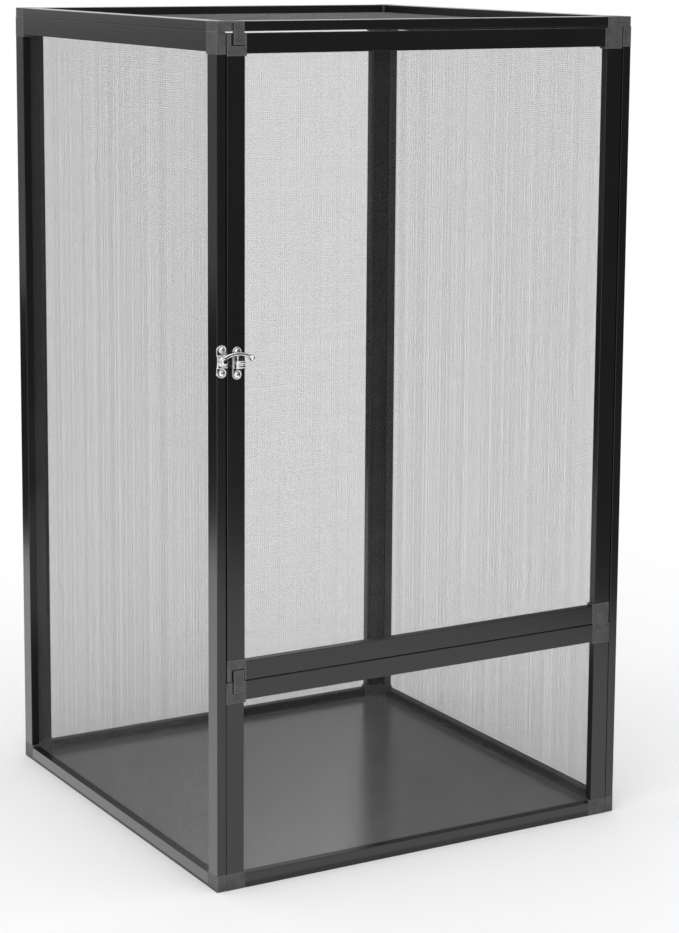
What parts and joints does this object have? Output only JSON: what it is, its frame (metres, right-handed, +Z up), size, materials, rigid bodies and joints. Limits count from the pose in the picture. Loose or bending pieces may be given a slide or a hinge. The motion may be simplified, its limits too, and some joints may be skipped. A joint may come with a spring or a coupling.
{
  "type": "mesh reptile cage",
  "caption": "Tall open-air cage for a climbing reptile: black aluminium frames with mesh panels, plastic corner pieces, a side-hung front door with a hook latch, and a solid floor sheet.",
  "frame": {"origin": "on the floor plane, under the middle of the cage's plan; the latch stands proud of the front", "axes": "+Z up, the front with the door faces -Y, +X to the right seen from the front"},
  "size_m": [0.451, 0.458, 0.8],
  "materials": {
    "frame_black": "satin black anodised",
    "corner_plastic": "fine moulded grain",
    "screen_wire": "black coated woven wire",
    "spline_rubber": "matt cord",
    "floor_sheet": "satin sheet",
    "latch_nickel": "bright nickel plate",
    "latch_screw": "bright plated",
    "hinge_steel": "turned"
  },
  "bodies": {
    "cage": {"left_front_stile": "frame_black", "left_rear_stile": "frame_black", "left_top_rail": "frame_black", "left_bottom_rail": "frame_black", "left_corners": "corner_plastic", "left_mesh": "screen_wire", "left_spline": "spline_rubber", "right_front_stile": "frame_black", "right_rear_stile": "frame_black", "right_top_rail": "frame_black", "right_bottom_rail": "frame_black", "right_corners": "corner_plastic", "right_mesh": "screen_wire", "right_spline": "spline_rubber", "back_left_stile": "frame_black", "back_right_stile": "frame_black", "back_top_rail": "frame_black", "back_bottom_rail": "frame_black", "back_corners": "corner_plastic", "back_mesh": "screen_wire", "back_spline": "spline_rubber", "top_front_rail": "frame_black", "top_rear_rail": "frame_black", "top_left_rail": "frame_black", "top_right_rail": "frame_black", "top_keeper_corner": "corner_plastic", "top_hinge_corner": "corner_plastic", "top_rear_corners": "corner_plastic", "top_mesh": "screen_wire", "top_spline": "spline_rubber", "sill_left_stile": "frame_black", "sill_right_stile": "frame_black", "sill_top_rail": "frame_black", "sill_bottom_rail": "frame_black", "sill_keeper_corner": "corner_plastic", "sill_hinge_corner": "corner_plastic", "sill_bottom_corners": "corner_plastic", "sill_mesh": "screen_wire", "sill_spline": "spline_rubber", "floor_panel": "floor_sheet", "panel_dowels": "corner_plastic", "upper_hinge_pin": "hinge_steel", "lower_hinge_pin": "hinge_steel", "latch_hook_plate": "latch_nickel", "latch_rivet": "latch_nickel", "latch_hook_screws": "latch_screw"},
    "door": {"door_latch_stile": "frame_black", "door_hinge_stile": "frame_black", "door_top_rail": "frame_black", "door_bottom_rail": "frame_black", "door_top_keeper_corner": "corner_plastic", "door_bottom_keeper_corner": "corner_plastic", "door_top_hinge_corner": "corner_plastic", "door_bottom_hinge_corner": "corner_plastic", "door_mesh": "screen_wire", "door_spline": "spline_rubber", "latch_catch": "latch_nickel", "latch_catch_screws": "latch_screw"},
    "hook": {"latch_hook": "latch_nickel"}
  },
  "joints": [
    {"name": "door_hinge", "type": "hinge", "parent": "cage", "child": "door", "pos_m": [0.2046, -0.2205, 0.4], "axis": [0, 0, 1], "range_deg": [0, 120]},
    {"name": "hook_pivot", "type": "hinge", "parent": "cage", "child": "hook", "pos_m": [-0.2205, -0.2294, 0.498], "axis": [0, -1, 0], "range_deg": [0, 95]}
  ]
}
